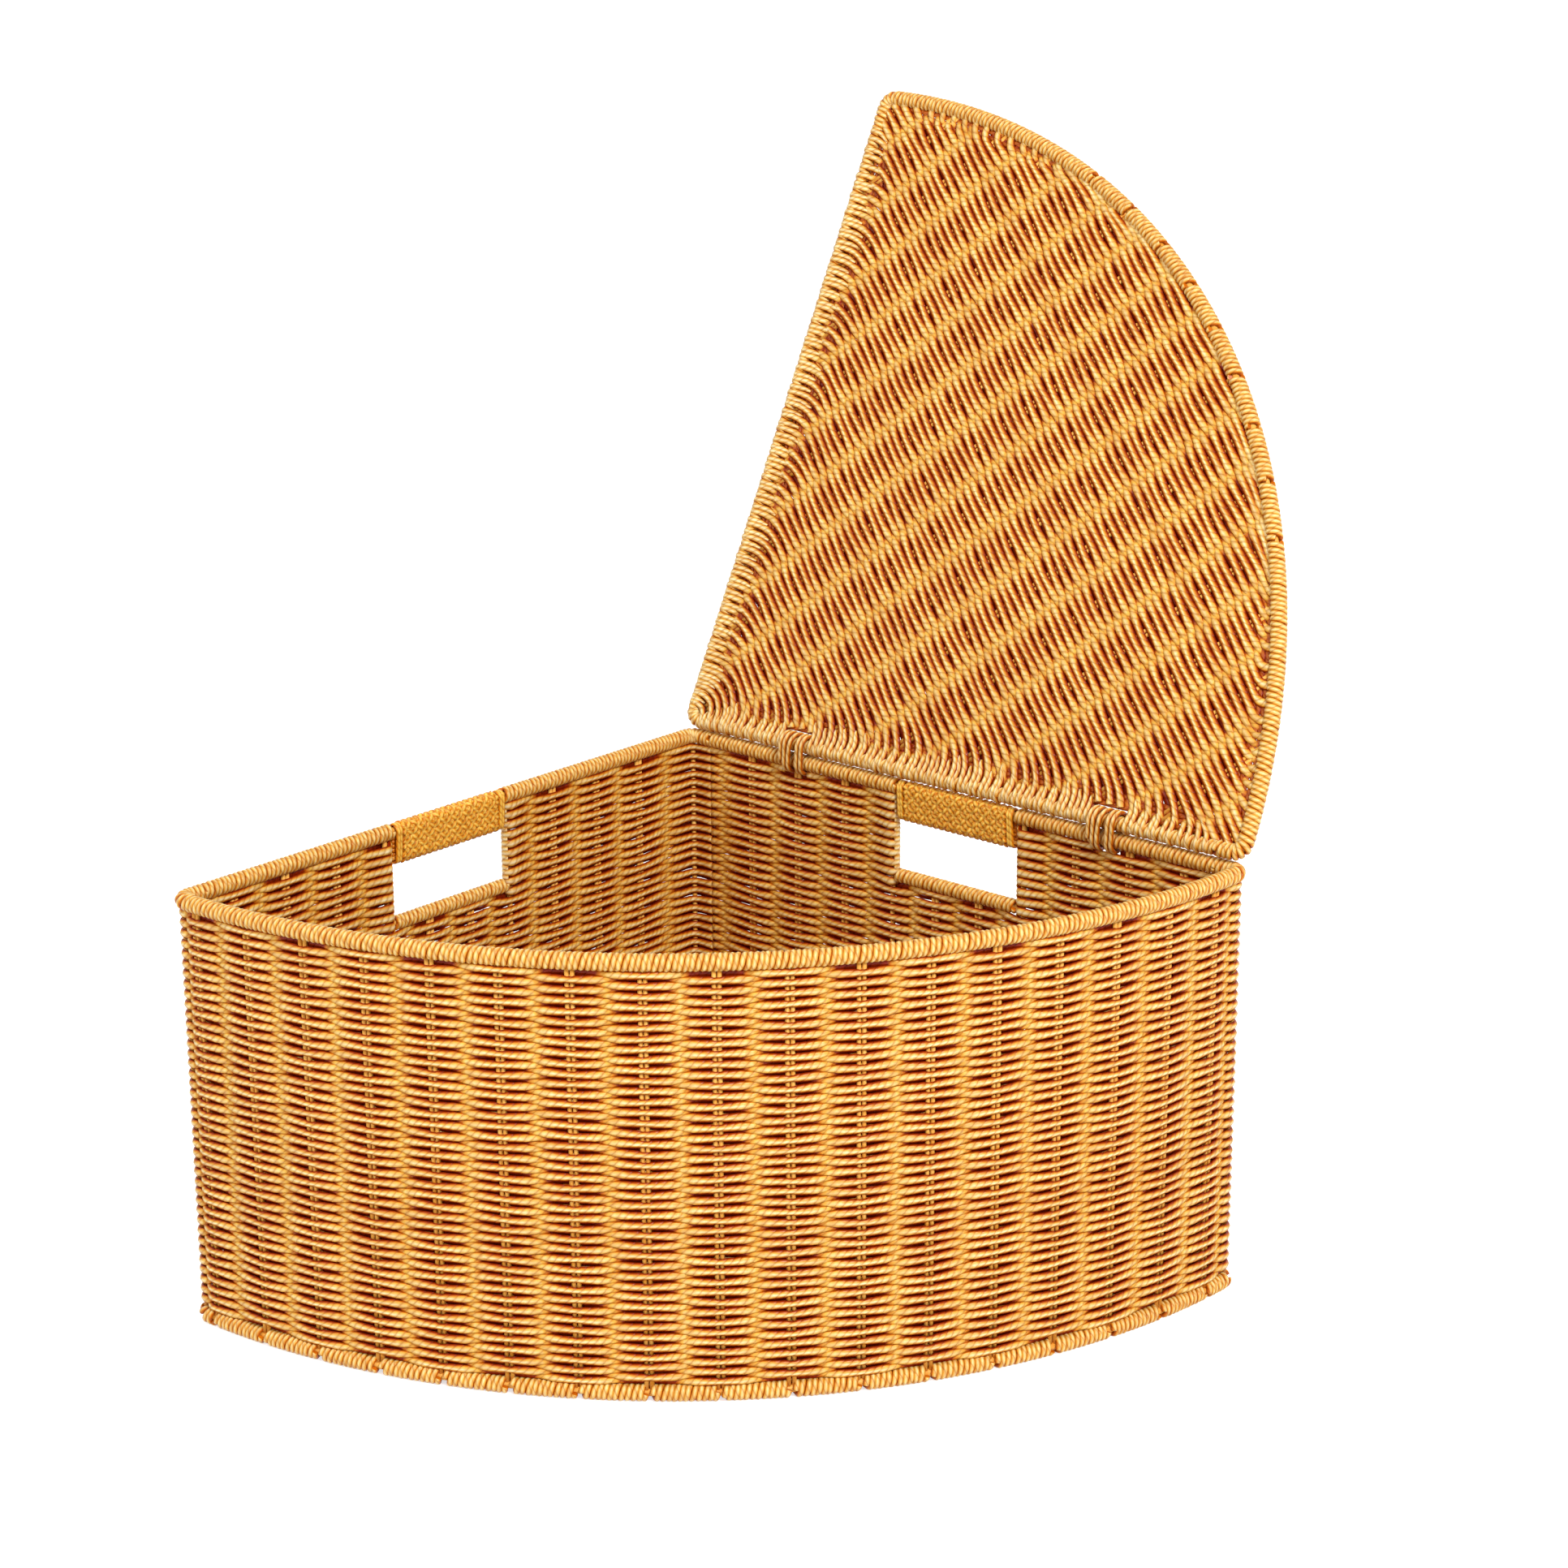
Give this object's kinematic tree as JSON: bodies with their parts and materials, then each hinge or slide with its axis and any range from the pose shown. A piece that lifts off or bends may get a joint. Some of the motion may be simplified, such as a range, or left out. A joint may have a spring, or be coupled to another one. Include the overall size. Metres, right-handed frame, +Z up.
{
  "type": "corner storage basket",
  "caption": "Quarter-round woven cord basket with a flat base, hand holes in its two straight walls and a flat woven lid lashed to one of them.",
  "frame": {"origin": "on the flat underside of the base, at floor level, midway between the sharp back corner of the walls' middle planes and the middle of the round front", "axes": "+Z up from the floor, +Y towards the back corner, +X to the right as seen from the round front, the side of the wall that carries the lid; the rest pose has the lid open"},
  "size_m": [0.5859, 0.5246, 0.5966],
  "materials": {
    "weft_cord": "two-ply twisted paper cord in a plain weave, satin",
    "rim_cord": "twisted paper cord wound turn against turn, satin",
    "lashing_cord": "flattened twisted paper cord, satin",
    "frame_wire": "round welded steel wire, thin brown coating"
  },
  "bodies": {
    "basket": {"body_wire_frame": "frame_wire", "left_wall_weave": "weft_cord", "right_wall_weave": "weft_cord", "front_wall_weave": "weft_cord", "base_weave": "weft_cord", "left_rear_rim_binding": "rim_cord", "left_front_rim_binding": "rim_cord", "right_rear_rim_binding": "rim_cord", "right_front_rim_binding": "rim_cord", "front_rim_binding": "rim_cord", "left_base_binding": "rim_cord", "right_base_binding": "rim_cord", "front_base_binding": "rim_cord", "left_handle_band": "rim_cord", "right_handle_band": "rim_cord", "left_sill_binding": "rim_cord", "right_sill_binding": "rim_cord", "rear_hinge_lashing": "lashing_cord", "front_hinge_lashing": "lashing_cord"},
    "lid": {"lid_wire_frame": "frame_wire", "lid_weave": "weft_cord", "lid_arc_binding": "rim_cord"}
  },
  "joints": [
    {"name": "lid", "type": "hinge", "parent": "basket", "child": "lid", "pos_m": [0, 0.195, 0.2459], "axis": [-0.7071, 0.7071, 0], "range_deg": [-117.4, 0]}
  ]
}
